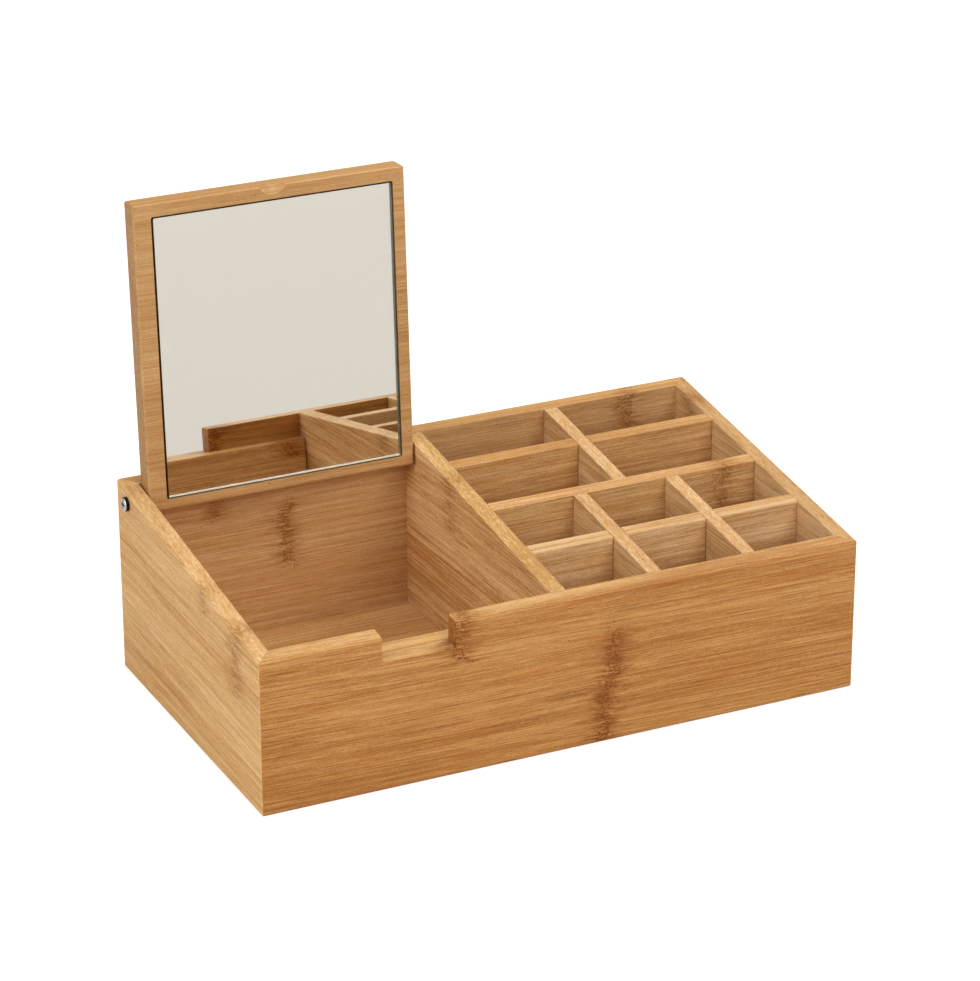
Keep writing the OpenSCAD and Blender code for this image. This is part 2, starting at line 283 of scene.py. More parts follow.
@dataclass(frozen=True)
class BambooFinish:
    """Bamboo, laminated from planed strips and sanded, under a thin satin lacquer.

    To the eye it is a warm straw colour with fine dark bundles of fibres that run along each
    board and sway a little. Amber patches lie between them, and where a culm had a node the wood
    is brown and flecked. The lacquer gives it a low, broad gloss. Lengths are in millimetres.
    """

    pale: str = "#E6C08A"
    middle: str = "#D5A76C"
    deep: str = "#BD8A52"
    amber: str = "#C8883C"
    fibre: str = "#8A5A2C"
    knot: str = "#A0682F"
    fleck: str = "#8A5318"
    # Where the palest and the deepest colour stand in the tone's range from 0 to 1.
    pale_at: float = 0.1
    deep_at: float = 0.9
    # How much of each noise's finer waves is kept.
    noise_roughness: float = 0.6

    # The strips that a board is glued up from are this wide and differ this much in tone.
    strip_width: float = 19.0
    strip_contrast: float = 0.06
    # Clouds, streaks, threads, broken threads and pores, whose sum is spread over the tone.
    tone_limits: tuple[float, float, float, float] = (-0.5, 0.5, 0.0, 1.0)
    tones: tuple[Pattern, ...] = (
        Pattern((0.006, 0.05, 0.05), 2.0, to_low=-0.5, to_high=0.5),
        Pattern((0.006, 0.35, 0.35), 3.0, to_low=-0.6, to_high=0.6),
        Pattern((0.010, 1.8, 1.8), 2.0, to_low=-0.9, to_high=0.9),
        Pattern((0.16, 1.2, 1.2), 3.0, to_low=-0.4, to_high=0.4),
        Pattern((0.8, 2.4, 2.4), 1.0, to_low=-0.5, to_high=0.5),
    )
    # Amber patches about 40 mm long, and spots about 3 mm long on the rims that are mottled.
    patches: Pattern = Pattern((0.025, 0.2, 0.2), 4.0, 0.54, 0.72, 0.0, 0.55)
    spots: Pattern = Pattern((0.33, 0.9, 0.9), 2.0, 0.42, 0.62, 0.0, 0.5)

    # Dark bundles of fibres, the coarse and the narrow ones: their pattern, width and weight.
    bundles: tuple[tuple[Pattern, float, float], ...] = (
        (Pattern((0.004, 0.42, 0.42), 1.0, to_low=-0.5, to_high=0.5), 0.045, 1.0),
        (Pattern((0.007, 0.95, 0.95), 1.0, to_low=-0.5, to_high=0.5), 0.05, 0.6),
    )
    # Bundles come and go in stretches of about 50 mm, and are broken up every 3 mm.
    bundle_share: Pattern = Pattern((0.018, 0.2, 0.2), 2.0, 0.38, 0.62, 0.1, 1.0)
    bundle_breaks: Pattern = Pattern((0.35, 1.0, 1.0), 2.0, 0.3, 0.6, 0.35, 1.0)
    # Single fibres are finer than a pixel, so these are drawn about 0.4 mm wide.
    fine_fibres: Pattern = Pattern((0.035, 2.3, 2.3), 1.0, 0.52, 0.74, 0.0, 0.9)
    fibre_strength: float = 0.62
    fibre_relief: float = 0.02
    # How far fibres sway to each side, gently along a board and sharply beside a culm node.
    sway: Pattern = Pattern((0.006, 0.02, 0.02), 1.0, to_low=-1.6, to_high=1.6)
    knot_sway: Pattern = Pattern((0.08, 0.22, 0.22), 1.0, to_low=-2.0, to_high=2.0)

    # A culm node wanders along the board as it crosses it, and reaches 3.5 to 10 mm each way.
    knot_wander: Pattern = Pattern((0.0, 0.07, 0.07), 3.0, to_low=-9.0, to_high=9.0)
    knot_reach: Pattern = Pattern((0.03, 0.5, 0.5), 2.0, 0.36, 0.64, 3.5, 10.0)
    # It is full up to this far from its middle, and its halo reaches further by a factor.
    knot_full: float = 2.0
    halo_full: float = 2.5
    halo_factor: float = 1.8
    # Across the board it fades between these shares of its half width.
    knot_fade: tuple[float, float] = (0.75, 1.1)
    # Brown smears along the fibres, and blotches about a millimetre wide in its middle.
    smears: Pattern = Pattern((0.07, 0.9, 0.9), 3.0, 0.38, 0.58, 0.1, 1.0)
    blotches: Pattern = Pattern((0.6, 1.35, 1.35), 3.0, 0.3, 0.7)
    blotch_lift: float = 0.55
    blotch_limits: tuple[float, float, float, float] = (0.95, 1.3, 0.0, 0.95)
    # Round flecks, a few tenths of a millimetre wide, at the node and very few elsewhere.
    flecks_per_mm: float = 0.75
    fleck_limits: tuple[float, float, float, float] = (0.22, 0.45, 0.8, 0.0)
    fleck_share: float = 0.45
    stray_flecks: float = 0.0008

    # Cut ends show the dots of the cut fibres, about 0.9 mm apart.
    end_dots_per_mm: float = 1.1
    end_dot_limits: tuple[float, float, float, float] = (0.2, 0.5, 0.42, 0.1)

    roughness_pale: float = 0.41
    roughness_deep: float = 0.54
    gloss: float = 0.25
    ior: float = 1.5

    def material(self) -> bpy.types.Material:
        """Builds the bamboo, which reads the attributes that Board writes.

        Returns:
            The material.
        """
        material, tree = new_material("Lacquered bamboo")
        grain = self._read(tree, "grain")
        scaled = add(tree, "ShaderNodeVectorMath", {0: grain, "Scale": 1 / MM}, operation="SCALE")
        place = scaled.outputs[0]
        faces = self._read_parts(tree, "faces")
        figure = self._read_parts(tree, "figure")
        core, halo = self._near_knots(tree, place)
        swayed = self._swayed(tree, place, halo)
        tone = self._tone(tree, swayed, figure["X"])
        lines = self._fibres(tree, swayed, figure["Y"])
        patches = self._math(tree, "MULTIPLY", self._noise(tree, swayed, self.patches), figure["Z"])
        spots = self._math(tree, "MULTIPLY", self._noise(tree, place, self.spots), faces["Y"])
        colour = self._mix(tree, patches, self._wood(tree, tone), self.amber)
        colour = self._mix(tree, lines, colour, self.fibre)
        colour = self._mix(tree, spots, colour, self.deep)
        colour = self._knotted(tree, place, swayed, (core, halo), colour)
        colour = self._end_grain(tree, place, faces["X"], colour)
        # The tint is each board's tone with painted light and shade of its faces.
        sockets = {"Factor": 1.0, "A": colour, "B": self._read(tree, "tint")}
        tinted = add(tree, "ShaderNodeMix", sockets, data_type="RGBA", blend_type="MULTIPLY")
        relief = {"Height": lines, "Distance": self.fibre_relief * MM, "Strength": 1.0}
        bump = add(tree, "ShaderNodeBump", relief, invert=True)
        shader = add(
            tree,
            "ShaderNodeBsdfPrincipled",
            {
                "Base Color": tinted.outputs["Result"],
                "Roughness": self._map(tree, tone, 0.0, 1.0, self.roughness_pale, self.roughness_deep),
                "IOR": self.ior,
                "Specular IOR Level": self.gloss,
                "Normal": bump.outputs["Normal"],
            },
        )
        add(tree, "ShaderNodeOutputMaterial", {"Surface": shader.outputs[0]})
        return material

    def _read(self, tree: Tree, name: str) -> Socket:
        """Reads one of the attributes that Board writes."""
        return add(tree, "ShaderNodeAttribute", attribute_name=name).outputs["Vector"]

    def _read_parts(self, tree: Tree, name: str) -> bpy.types.NodeOutputs:
        """Reads an attribute's three numbers, as X, Y and Z."""
        return add(tree, "ShaderNodeSeparateXYZ", {0: self._read(tree, name)}).outputs

    def _noise(self, tree: Tree, place: Socket, pattern: Pattern) -> Socket:
        """Draws a pattern.

        Args:
            tree: the material's tree.
            place: the place on the board, in millimetres.
            pattern: the noise and what it is spread over.

        Returns:
            The pattern's value.
        """
        stretched = add(tree, "ShaderNodeVectorMath", {0: place, 1: pattern.scale}, operation="MULTIPLY")
        waves = {"Scale": 1.0, "Detail": pattern.detail, "Roughness": self.noise_roughness}
        noise = add(tree, "ShaderNodeTexNoise", {"Vector": stretched.outputs[0], **waves}).outputs["Fac"]
        return self._map(tree, noise, pattern.low, pattern.high, pattern.to_low, pattern.to_high)

    def _map(self, tree: Tree, value: Socket, *limits: Socket | float) -> Socket:
        """Spreads a value from the first two limits over the last two, and holds it there."""
        names = ("From Min", "From Max", "To Min", "To Max")
        sockets = {"Value": value, **dict(zip(names, limits))}
        return add(tree, "ShaderNodeMapRange", sockets).outputs["Result"]

    def _math(self, tree: Tree, operation: str, *values: Socket | float) -> Socket:
        """Adds one sum, product or comparison."""
        return add(tree, "ShaderNodeMath", dict(enumerate(values)), operation=operation).outputs[0]

    def _mix(self, tree: Tree, amount: Socket, colour: Socket, towards: str) -> Socket:
        """Mixes a colour towards a named one."""
        sockets = {"Factor": amount, "A": colour, "B": linear(towards)}
        return add(tree, "ShaderNodeMix", sockets, data_type="RGBA").outputs["Result"]

    def _near_knots(self, tree: Tree, place: Socket) -> tuple[Socket, Socket]:
        """Measures how near the board's culm nodes are.

        Args:
            tree: the material's tree.
            place: the place on the board, in millimetres.

        Returns:
            The closeness within the node itself and within its halo, each from 0 to 1.
        """
        wander = self._noise(tree, place, self.knot_wander)
        reach = self._noise(tree, place, self.knot_reach)
        far = self._math(tree, "MULTIPLY", reach, self.halo_factor)
        alongs = self._read_parts(tree, "knots_along")
        acrosses = self._read_parts(tree, "knots_across")
        strengths = self._read_parts(tree, "knots_strength")
        core, halo = 0.0, 0.0
        for part in ("X", "Y", "Z"):
            offset = self._math(tree, "MULTIPLY_ADD", alongs[part], 1 / MM, wander)
            away = self._math(tree, "ABSOLUTE", offset)
            side = self._math(tree, "ABSOLUTE", acrosses[part])
            within = self._map(tree, side, *self.knot_fade, 1.0, 0.0)
            inside = self._math(tree, "MULTIPLY", within, strengths[part])
            near = self._map(tree, away, self.knot_full, reach, 1.0, 0.0)
            wide = self._map(tree, away, self.halo_full, far, 1.0, 0.0)
            core = self._math(tree, "MAXIMUM", self._math(tree, "MULTIPLY", near, inside), core)
            halo = self._math(tree, "MAXIMUM", self._math(tree, "MULTIPLY", wide, inside), halo)
        return core, halo

    def _swayed(self, tree: Tree, place: Socket, halo: Socket) -> Socket:
        """Bends the fibres gently along the board, and more beside a culm node.

        Args:
            tree: the material's tree.
            place: the place on the board, in millimetres.
            halo: how near a culm node is.

        Returns:
            The place to read the fibres at.
        """
        gentle = self._noise(tree, place, self.sway)
        sharp = self._noise(tree, place, self.knot_sway)
        sway = self._math(tree, "MULTIPLY_ADD", sharp, halo, gentle)
        shift = add(tree, "ShaderNodeCombineXYZ", {"Y": sway, "Z": sway}).outputs[0]
        return add(tree, "ShaderNodeVectorMath", {0: place, 1: shift}, operation="ADD").outputs[0]

    def _tone(self, tree: Tree, place: Socket, strength: Socket) -> Socket:
        """Adds up the strips and the tone's patterns.

        Args:
            tree: the material's tree.
            place: the place to read the fibres at.
            strength: how strong the board's tone is.

        Returns:
            The tone, from 0 (pale) to 1 (deep).
        """
        across = add(tree, "ShaderNodeSeparateXYZ", {0: place}).outputs["Y"]
        number = self._math(tree, "FLOOR", self._math(tree, "DIVIDE", across, self.strip_width))
        strip = add(tree, "ShaderNodeTexWhiteNoise", {"W": number}, noise_dimensions="1D")
        contrast = self.strip_contrast
        total = self._map(tree, strip.outputs["Value"], 0.0, 1.0, -contrast, contrast)
        for pattern in self.tones:
            total = self._math(tree, "ADD", total, self._noise(tree, place, pattern))
        return self._map(tree, self._math(tree, "MULTIPLY", total, strength), *self.tone_limits)

    def _wood(self, tree: Tree, tone: Socket) -> Socket:
        """Turns the tone into the plain wood's colour.

        Args:
            tree: the material's tree.
            tone: the tone, from 0 to 1.

        Returns:
            The colour.
        """
        ramp = add(tree, "ShaderNodeValToRGB", {0: tone})
        first, last = ramp.color_ramp.elements
        first.position = self.pale_at
        first.color = linear(self.pale)
        last.position = self.deep_at
        last.color = linear(self.deep)
        ramp.color_ramp.elements.new((self.pale_at + self.deep_at) / 2).color = linear(self.middle)
        return ramp.outputs[0]

    def _fibres(self, tree: Tree, place: Socket, strength: Socket) -> Socket:
        """Draws the dark bundles of fibres, and the short fine ones between them.

        Args:
            tree: the material's tree.
            place: the place to read the fibres at.
            strength: how strong the board's fibres are.

        Returns:
            How dark the fibres are.
        """
        total = 0.0
        for pattern, width, weight in self.bundles:
            level = self._noise(tree, place, pattern)
            line = self._map(tree, self._math(tree, "ABSOLUTE", level), 0.0, width, weight, 0.0)
            share = self._noise(tree, place, self.bundle_share)
            total = self._math(tree, "MAXIMUM", self._math(tree, "MULTIPLY", line, share), total)
        total = self._math(tree, "MULTIPLY", total, self._noise(tree, place, self.bundle_breaks))
        total = self._math(tree, "MAXIMUM", self._noise(tree, place, self.fine_fibres), total)
        full = self._math(tree, "MULTIPLY", strength, self.fibre_strength)
        return self._math(tree, "MULTIPLY", total, full)

    def _knotted(
        self, tree: Tree, place: Socket, swayed: Socket, near: tuple[Socket, Socket], colour: Socket
    ) -> Socket:
        """Smears brown along the fibres at each culm node, and blotches and flecks its middle.

        Args:
            tree: the material's tree.
            place: the place on the board, in millimetres.
            swayed: the place to read the fibres at.
            near: how near a culm node's middle and its halo are.
            colour: the wood's colour so far.

        Returns:
            The colour with its culm nodes.
        """
        core, halo = near
        smears = self._math(tree, "MULTIPLY", self._noise(tree, swayed, self.smears), halo)
        colour = self._mix(tree, smears, colour, self.knot)
        blotches = self._noise(tree, place, self.blotches)
        level = self._math(tree, "MULTIPLY_ADD", core, self.blotch_lift, blotches)
        colour = self._mix(tree, self._map(tree, level, *self.blotch_limits), colour, self.fleck)
        sockets = {"Vector": place, "Scale": self.flecks_per_mm, "Randomness": 1.0}
        cells = add(tree, "ShaderNodeTexVoronoi", sockets).outputs
        dots = self._map(tree, cells["Distance"], *self.fleck_limits)
        random = add(tree, "ShaderNodeSeparateXYZ", {0: cells["Color"]}).outputs["X"]
        share = self._math(tree, "MULTIPLY_ADD", core, self.fleck_share, self.stray_flecks)
        chosen = self._math(tree, "LESS_THAN", random, share)
        return self._mix(tree, self._math(tree, "MULTIPLY", dots, chosen), colour, self.fleck)

    def _end_grain(self, tree: Tree, place: Socket, mask: Socket, colour: Socket) -> Socket:
        """Makes cut ends brown, with the dots of the cut fibres.

        Args:
            tree: the material's tree.
            place: the place on the board, in millimetres.
            mask: 1 on a cut end and 0 elsewhere.
            colour: the wood's colour so far.

        Returns:
            The colour with its cut ends.
        """
        cells = add(tree, "ShaderNodeTexVoronoi", {"Vector": place, "Scale": self.end_dots_per_mm})
        dots = self._map(tree, cells.outputs["Distance"], *self.end_dot_limits)
        return self._mix(tree, self._math(tree, "MULTIPLY", dots, mask), colour, self.fibre)


@dataclass(frozen=True)
class GlassFinish:
    """Float glass, clear and fire-polished: its front face gives a faint second reflection."""

    tint: str = "#F4F7F3"
    ior: float = 1.52

    def material(self) -> bpy.types.Material:
        """Builds the clear glass.

        Returns:
            The material.
        """
        material, tree = new_material("Clear float glass")
        shader = add(
            tree,
            "ShaderNodeBsdfPrincipled",
            {
                "Base Color": linear(self.tint),
                "Roughness": 0.0,
                "IOR": self.ior,
                "Transmission Weight": 1.0,
            },
        )
        add(tree, "ShaderNodeOutputMaterial", {"Surface": shader.outputs[0]})
        return material


@dataclass(frozen=True)
class SilverFinish:
    """Silver chemically laid on the back of the glass: a sharp, slightly warm reflection."""

    colour: str = "#F3EFE8"

    def material(self) -> bpy.types.Material:
        """Builds the silvering.

        Returns:
            The material.
        """
        material, tree = new_material("Mirror silvering")
        silver = {"Base Color": linear(self.colour), "Roughness": 0.0, "Metallic": 1.0}
        shader = add(tree, "ShaderNodeBsdfPrincipled", silver)
        add(tree, "ShaderNodeOutputMaterial", {"Surface": shader.outputs[0]})
        return material


@dataclass(frozen=True)
class GroundEdgeFinish:
    """The glass's edge, ground with a stone and sealed with the mirror's dark backing paint.

    From outside it is a dark line: the dark paint, deepened by painted shade for the narrow pocket round
    it. Seen through the glass its lower edge is painted as a light line that glows, a painted light for
    the light that the plate carries down from above, and its upright edges are painted a dimmer
    green-grey.
    """

    # Dark paint with painted shade from outside, painted light seen through the glass.
    outside: str = "#453E32"
    inside: str = "#E9E1D0"
    upright_edge_light: str = "#9A9C88"
    roughness: float = 0.5
    ior: float = 1.5
    # How strongly the lower edge glows: painted light for the light that the plate carries down to it.
    painted_glow: float = 0.45
    # An edge counts as the lower one, with the painted glow, as it turns from the first of these to the
    # second.
    upward: tuple[float, float] = (0.3, 0.9)

    def material(self) -> bpy.types.Material:
        """Builds the ground edge.

        Returns:
            The material.
        """
        material, tree = new_material("Ground glass edge, painted light")
        painted = {"Base Color": linear(self.outside), "Roughness": self.roughness, "IOR": self.ior}
        paint = add(tree, "ShaderNodeBsdfPrincipled", painted)
        geometry = add(tree, "ShaderNodeNewGeometry").outputs
        facing = add(tree, "ShaderNodeSeparateXYZ", {0: geometry["True Normal"]}).outputs["Z"]
        limits = {"Value": facing, "From Min": self.upward[0], "From Max": self.upward[1]}
        lower = add(tree, "ShaderNodeMapRange", limits).outputs["Result"]
        # Painted light: the lower edge glows and is paler, the upright edges are dimmer.
        light = add(tree, "ShaderNodeMath", {0: lower, 1: self.painted_glow}, operation="MULTIPLY").outputs[0]
        sockets = {"Factor": lower, "A": linear(self.upright_edge_light), "B": linear(self.inside)}
        colour = add(tree, "ShaderNodeMix", sockets, data_type="RGBA").outputs["Result"]
        glowing_inside = add(
            tree,
            "ShaderNodeBsdfPrincipled",
            {
                "Base Color": colour,
                "Roughness": self.roughness,
                "Emission Color": linear(self.inside),
                "Emission Strength": light,
            },
        )
        sides = {0: geometry["Backfacing"], 1: paint.outputs[0], 2: glowing_inside.outputs[0]}
        seen = add(tree, "ShaderNodeMixShader", sides)
        add(tree, "ShaderNodeOutputMaterial", {"Surface": seen.outputs[0]})
        return material


@dataclass(frozen=True)
class SteelFinish:
    """Cold-formed steel, zinc-plated: bright with a soft gloss, as on small wood screws."""

    name: str = "Zinc-plated steel"
    colour: str = "#D6D7D9"
    roughness: float = 0.38

    def material(self) -> bpy.types.Material:
        """Builds the plated steel.

        Returns:
            The material.
        """
        material, tree = new_material(self.name)
        steel = {"Base Color": linear(self.colour), "Roughness": self.roughness, "Metallic": 1.0}
        shader = add(tree, "ShaderNodeBsdfPrincipled", steel)
        add(tree, "ShaderNodeOutputMaterial", {"Surface": shader.outputs[0]})
        return material


# The same steel painted nearly black and dull: painted shade for the flank of a screw head, which stands
# in the head's own shadow.
SHADED_FLANK_STEEL = SteelFinish("Steel flank, painted shade", "#33261C", 0.6)


@dataclass(frozen=True)
class TapeFinish:
    """White foam tape, cast and cut: matt and even."""

    colour: str = "#E9E6DE"
    roughness: float = 0.9
    ior: float = 1.45

    def material(self) -> bpy.types.Material:
        """Builds the foam tape.

        Returns:
            The material.
        """
        material, tree = new_material("White foam tape")
        foam = {"Base Color": linear(self.colour), "Roughness": self.roughness, "IOR": self.ior}
        shader = add(tree, "ShaderNodeBsdfPrincipled", foam)
        add(tree, "ShaderNodeOutputMaterial", {"Surface": shader.outputs[0]})
        return material


@dataclass(frozen=True)
class PaperFinish:
    """Warm pale studio paper, matt.

    The camera sees it lifted to white, with the box's shadow kept. The wood and the mirror see
    the paper's own colour.
    """

    colour: str = "#D0CBC9"
    lift: float = 0.65

    def material(self) -> bpy.types.Material:
        """Builds the studio paper.

        Returns:
            The material.
        """
        material, tree = new_material("Studio paper")
        paper = add(tree, "ShaderNodeBsdfDiffuse", {"Color": linear(self.colour)})
        glow = add(tree, "ShaderNodeEmission", {"Color": linear("#FFFFFF"), "Strength": self.lift})
        lifted = add(tree, "ShaderNodeAddShader", {0: paper.outputs[0], 1: glow.outputs[0]})
        path = add(tree, "ShaderNodeLightPath").outputs
        sides = {0: path["Is Camera Ray"], 1: paper.outputs[0], 2: lifted.outputs[0]}
        shown = add(tree, "ShaderNodeMixShader", sides)
        add(tree, "ShaderNodeOutputMaterial", {"Surface": shown.outputs[0]})
        return material


@dataclass(frozen=True)
class BodyFrame:
    """Where a body's own straight axes lie in the row frame at rest."""

    origin: Vector
    turn: Matrix

    def inward(self, point: Vector) -> Vector:
        """Turns a point of the row frame into the body's own frame."""
        return self.turn.transposed() @ (point - self.origin)

    def outward(self, point: Vector) -> Vector:
        """Turns a point of the body's own frame into the row frame."""
        return self.origin + self.turn @ point

    def reach(self, points: list[Vector]) -> tuple[Vector, Vector]:
        """Measures points of the row frame along the body's own axes.

        Args:
            points: the points, in the row frame.

        Returns:
            The lowest and the highest corner, in the body's own frame.
        """
        places = [self.inward(point) for point in points]
        low, high = (Vector([pick(p[i] for p in places) for i in range(3)]) for pick in (min, max))
        return low, high


@dataclass(frozen=True)
class Knot:
    """A culm node across part of a board, in metres.

    It stands at a place along the grain and reaches from low to high across it. Its lean is how
    far it moves along the grain for each metre across.
    """

    along: float
    low: float
    high: float
    strength: float = 0.6
    lean: float = 0.0

    def measure(self, u: float, v: float) -> tuple[float, float]:
        """Measures a point of the board from this culm node.

        Args:
            u: the point's place along the grain.
            v: its place across the grain.

        Returns:
            How far along the grain it is from the node, and how far across it in half widths.
        """
        aside = v - (self.low + self.high) / 2
        return u - self.along - self.lean * aside, aside / ((self.high - self.low) / 2)


@dataclass(frozen=True)
class PaleCut:
    """A curved cut into a board's front that is drawn paler than the wood round it, round a point of the
    body's frame.
    """

    centre: Triple
    reach: float
    paler: Triple = (1.25, 1.32, 1.30)
    # The cut's faces point this much to the front, and never this much to the side.
    front: tuple[float, float] = (0.1, 0.985)
    side: float = 0.9

    def holds(self, centre: Vector, normal: Vector) -> bool:
        """Tells whether a face is part of the cut.

        Args:
            centre: the face's middle, in the body's own frame.
            normal: where the face points, in the body's own frame.

        Returns:
            Whether it is.
        """
        if (centre - Vector(self.centre)).length > self.reach:
            return False
        return self.front[0] < -normal.y < self.front[1] and abs(normal.x) < self.side


@dataclass
class Board:
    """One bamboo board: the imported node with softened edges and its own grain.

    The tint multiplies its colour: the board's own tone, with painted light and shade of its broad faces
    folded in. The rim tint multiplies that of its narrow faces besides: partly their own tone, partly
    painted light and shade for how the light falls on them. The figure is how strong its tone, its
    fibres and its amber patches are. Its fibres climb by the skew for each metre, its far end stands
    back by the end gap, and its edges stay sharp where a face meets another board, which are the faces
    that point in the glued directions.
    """

    node: str
    grain: Axis
    thin: Axis
    slot: Slot
    body: Body = Body.BOX
    # Both tints are partly the board's own tone and partly painted light and shade.
    tint: Triple = PLAIN
    rim_tone_and_light: Triple = PLAIN
    knots: tuple[Knot, ...] = ()
    mottled: bool = False
    figure: Triple = PLAIN
    skew: float = 0.0
    soft: float = 0.35 * MM
    # The sharpest corner, in degrees, that is shaded smooth. A softened edge has sharper ones.
    shaded: float = 20.0
    end_gap: float = 0.0
    glued: tuple[Triple, ...] = ()
    pale_cut: PaleCut | None = None
    piece: bpy.types.Object | None = field(default=None, repr=False)

    def build(self, frame: dict, own: BodyFrame, seed: int) -> bpy.types.Object:
        """Makes the board's mesh.

        Args:
            own: the straight frame of the board's body.
            seed: tells this board's pattern from the others'.

        Returns:
            The finished piece, in the row frame.
        """
        shell = packed_shell(frame, self.node, BOARD_WELD)
        far_end = max(v.co[self.grain.value] for v in shell.verts)
        for vertex in shell.verts:
            if vertex.co[self.grain.value] > far_end - self.soft:
                vertex.co[self.grain.value] -= self.end_gap
        bmesh.ops.bevel(
            shell,
            geom=[e for e in shell.edges if self._is_soft(e)],
            offset=self.soft,
            offset_type="OFFSET",
            segments=2,
            profile=0.5,
            affect="EDGES",
            clamp_overlap=True,
        )
        bmesh.ops.dissolve_degenerate(shell, edges=shell.edges, dist=SLIVER)
        self.piece = new_piece(shell, f"{self.node}_wood")
        smooth(self.piece, self.shaded)
        self._measure(own, seed)
        return self.piece

    def dress(self, bamboo: bpy.types.Material) -> None:
        """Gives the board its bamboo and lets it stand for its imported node.

        Args:
            bamboo: the bamboo's material.
        """
        self.piece.data.materials.clear()
        self.piece.data.materials.append(bamboo)
        stand_in(self.piece, self.body, self.slot, self.node)

    def _is_soft(self, edge: bmesh.types.BMEdge) -> bool:
        """Tells whether an edge is softened.

        Args:
            edge: the edge.

        Returns:
            Whether it is a free, outward corner with room beside it.
        """
        if len(edge.link_faces) != 2 or not edge.is_convex:
            return False
        if edge.calc_face_angle(0.0) < math.radians(CORNER):
            return False
        if any(near.calc_length() < SHORT_EDGE for vertex in edge.verts for near in vertex.link_edges):
            return False
        return not any(self._is_glued(face) for face in edge.link_faces)

    def _is_glued(self, face: bmesh.types.BMFace) -> bool:
        """Tells whether a face meets another board."""
        large = face.calc_area() > GLUED_AREA
        return large and any(face.normal.dot(Vector(way)) > GLUED_FACING for way in self.glued)

    def _measure(self, own: BodyFrame, seed: int) -> None:
        """Writes where each point is on the board, and what kind each face is, for the bamboo.

        Args:
            own: the straight frame of the board's body.
            seed: tells this board's pattern from the others'.
        """
        mesh = self.piece.data
        wide = ({0, 1, 2} - {self.grain.value, self.thin.value}).pop()
        knots = list(self.knots) + [Knot(FAR_AWAY, -1.0, 1.0)] * (KNOT_ROOM - len(self.knots))
        on_points = {name: [] for name in ("grain", "knots_along", "knots_across", "knots_strength")}
        on_faces = {name: [] for name in ("tint", "faces", "figure")}
        for vertex in mesh.vertices:
            place = own.inward(vertex.co)
            u, v, w = place[self.grain.value], place[wide], place[self.thin.value]
            read_at = (u, v + self.skew * u, w)
            on_points["grain"] += (a + step * seed for a, step in zip(read_at, PATTERN_STEP))
            on_points["knots_along"] += (knot.measure(u, v)[0] for knot in knots)
            on_points["knots_across"] += (knot.measure(u, v)[1] for knot in knots)
            on_points["knots_strength"] += (knot.strength for knot in knots)
        for polygon in mesh.polygons:
            normal = own.turn.transposed() @ polygon.normal
            is_end = abs(normal[self.grain.value]) > END_FACING
            is_rim = not is_end and abs(normal[self.thin.value]) < RIM_FACING
            is_pale_cut = self.pale_cut is not None and self.pale_cut.holds(own.inward(polygon.center), normal)
            # A narrow face takes the rim tint: its own tone with painted light and shade.
            rim = self.rim_tone_and_light if is_rim else PLAIN
            paler = self.pale_cut.paler if is_pale_cut else PLAIN
            share = (1.0, RIM_FIBRES, RIM_PATCHES) if is_rim else PLAIN
            on_faces["tint"] += (a * b * c for a, b, c in zip(self.tint, rim, paler))
            on_faces["faces"] += (float(is_end), float(is_rim and self.mottled), 0.0)
            on_faces["figure"] += (a * b for a, b in zip(self.figure, share))
        for domain, values in (("POINT", on_points), ("FACE", on_faces)):
            for name, numbers in values.items():
                mesh.attributes.new(name, "FLOAT_VECTOR", domain).data.foreach_set("vector", numbers)


@dataclass
class MirrorPlate:
    """The mirror: a plate of glass with rounded corners, ground edges and silver behind."""

    node: str = "mirror_glass"
    corner: float = 0.6 * MM
    # The plate's left edge stands back this far, so that the pocket shows a dark line beside it.
    left_gap: float = 0.35 * MM
    steps: int = 6
    piece: bpy.types.Object | None = field(default=None, repr=False)

    def build(self, frame: dict, own: BodyFrame) -> bpy.types.Object:
        """Makes the plate in the lid's own frame and sets it in the row frame.

        Args:
            own: the lid's straight frame.

        Returns:
            The finished piece.
        """
        low, high = own.reach([v.co for v in frame["nodes"][self.node].data.vertices])
        low.x += self.left_gap
        shell = bmesh.new()
        front = self._ring(shell, low, high, low.y)
        back = self._ring(shell, low, high, high.y)
        shell.faces.new(front).material_index = 0
        for i, corner in enumerate(front):
            j = (i + 1) % len(front)
            shell.faces.new((front[j], corner, back[i], back[j])).material_index = 1
        shell.faces.new(list(reversed(back))).material_index = 2
        bmesh.ops.recalc_face_normals(shell, faces=shell.faces)
        for vertex in shell.verts:
            vertex.co = own.outward(vertex.co)
        self.piece = new_piece(shell, "mirror_plate")
        return self.piece

    def dress(
        self, glass: bpy.types.Material, edge: bpy.types.Material, silver: bpy.types.Material
    ) -> None:
        """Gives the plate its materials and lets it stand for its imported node.

        Args:
            glass: the material of its front.
            edge: the material of its edges.
            silver: the material of its back.
        """
        for material in (glass, edge, silver):
            self.piece.data.materials.append(material)
        stand_in(self.piece, Body.LID, Slot.MIRROR, self.node)

    def _ring(self, shell: bmesh.types.BMesh, low: Vector, high: Vector, y: float) -> list:
        """Adds one outline of the plate, with rounded corners.

        Args:
            shell: the plate's shape so far.
            low: the plate's lowest corner.
            high: the plate's highest corner.
            y: the outline's depth.

        Returns:
            The outline's points in order.
        """
        ring = []
        middle = (low + high) / 2
        outline = ((high.x, high.z), (low.x, high.z), (low.x, low.z), (high.x, low.z))
        for quarter, (x, z) in enumerate(outline):
            centre_x = x - math.copysign(self.corner, x - middle.x)
            centre_z = z - math.copysign(self.corner, z - middle.z)
            for step in range(self.steps + 1):
                angle = math.pi / 2 * (quarter + step / self.steps)
                arm = Vector((math.cos(angle), 0.0, math.sin(angle))) * self.corner
                ring.append(shell.verts.new(Vector((centre_x, y, centre_z)) + arm))
        return ring


